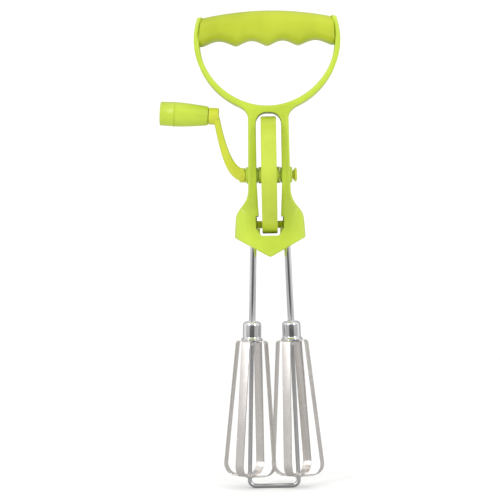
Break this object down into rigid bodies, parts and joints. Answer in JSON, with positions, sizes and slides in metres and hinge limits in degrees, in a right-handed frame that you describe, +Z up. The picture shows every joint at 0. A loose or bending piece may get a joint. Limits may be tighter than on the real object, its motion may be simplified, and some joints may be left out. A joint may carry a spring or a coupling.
{
  "type": "hand-cranked rotary egg beater",
  "caption": "Rotary egg beater with a ridged hand grip, a side crank with a barrel knob, a crown wheel and a pair of strip-blade beaters on a bent wire.",
  "frame": {"origin": "middle of the hand grip, on its long axis", "axes": "+Z up from the beaters to the grip, +X along the grip and the crank's axle, away from the crank, +Y from front to back"},
  "size_m": [0.1102, 0.071, 0.2894],
  "materials": {
    "frame_plastic": "moulded, satin gloss",
    "grip_plastic": "moulded, satin gloss",
    "crank_plastic": "moulded, satin gloss",
    "wheel_plastic": "moulded, satin",
    "knob_plastic": "moulded, satin gloss",
    "pinion_plastic": "moulded, satin",
    "bright_wire": "bright drawn",
    "tube_steel": "drawn, polished",
    "plated_steel": "plated",
    "blade_steel": "rolled strip, polished"
  },
  "bodies": {
    "frame": {"frame": "frame_plastic", "grip_front": "grip_plastic", "grip_rear": "grip_plastic", "wire_frame": "bright_wire"},
    "crank": {"crank": "crank_plastic", "drive_wheel": "wheel_plastic", "axle_cap": "crank_plastic", "knob_pin": "bright_wire"},
    "knob": {"knob_sleeve": "knob_plastic", "knob_cap": "knob_plastic"},
    "left_beater": {"left_pinion": "pinion_plastic", "left_tube": "tube_steel", "left_collar": "plated_steel", "left_clamp_washer": "plated_steel", "left_outer_blades": "blade_steel", "left_inner_blades": "blade_steel", "left_foot_eyelet": "plated_steel"},
    "right_beater": {"right_pinion": "pinion_plastic", "right_tube": "tube_steel", "right_collar": "plated_steel", "right_clamp_washer": "plated_steel", "right_outer_blades": "blade_steel", "right_inner_blades": "blade_steel", "right_foot_eyelet": "plated_steel"}
  },
  "joints": [
    {"name": "crank_turn", "type": "hinge", "parent": "frame", "child": "crank", "pos_m": [0, 0, -0.0892], "axis": [1, 0, 0], "continuous": true},
    {"name": "knob_spin", "type": "hinge", "parent": "crank", "child": "knob", "pos_m": [-0.03, 0, -0.0532], "axis": [-0.9976, 0, 0.0698], "continuous": true},
    {"name": "left_beater_spin", "type": "hinge", "parent": "frame", "child": "left_beater", "pos_m": [-0.00991, 0, -0.1191], "axis": [0.0314, 0, 0.9995], "continuous": true},
    {"name": "right_beater_spin", "type": "hinge", "parent": "frame", "child": "right_beater", "pos_m": [0.00991, 0, -0.1191], "axis": [-0.0314, 0, 0.9995], "continuous": true}
  ],
  "couplings": [
    {"joint": "left_beater_spin", "follows": "crank_turn", "ratio": 5},
    {"joint": "right_beater_spin", "follows": "crank_turn", "ratio": -5}
  ]
}
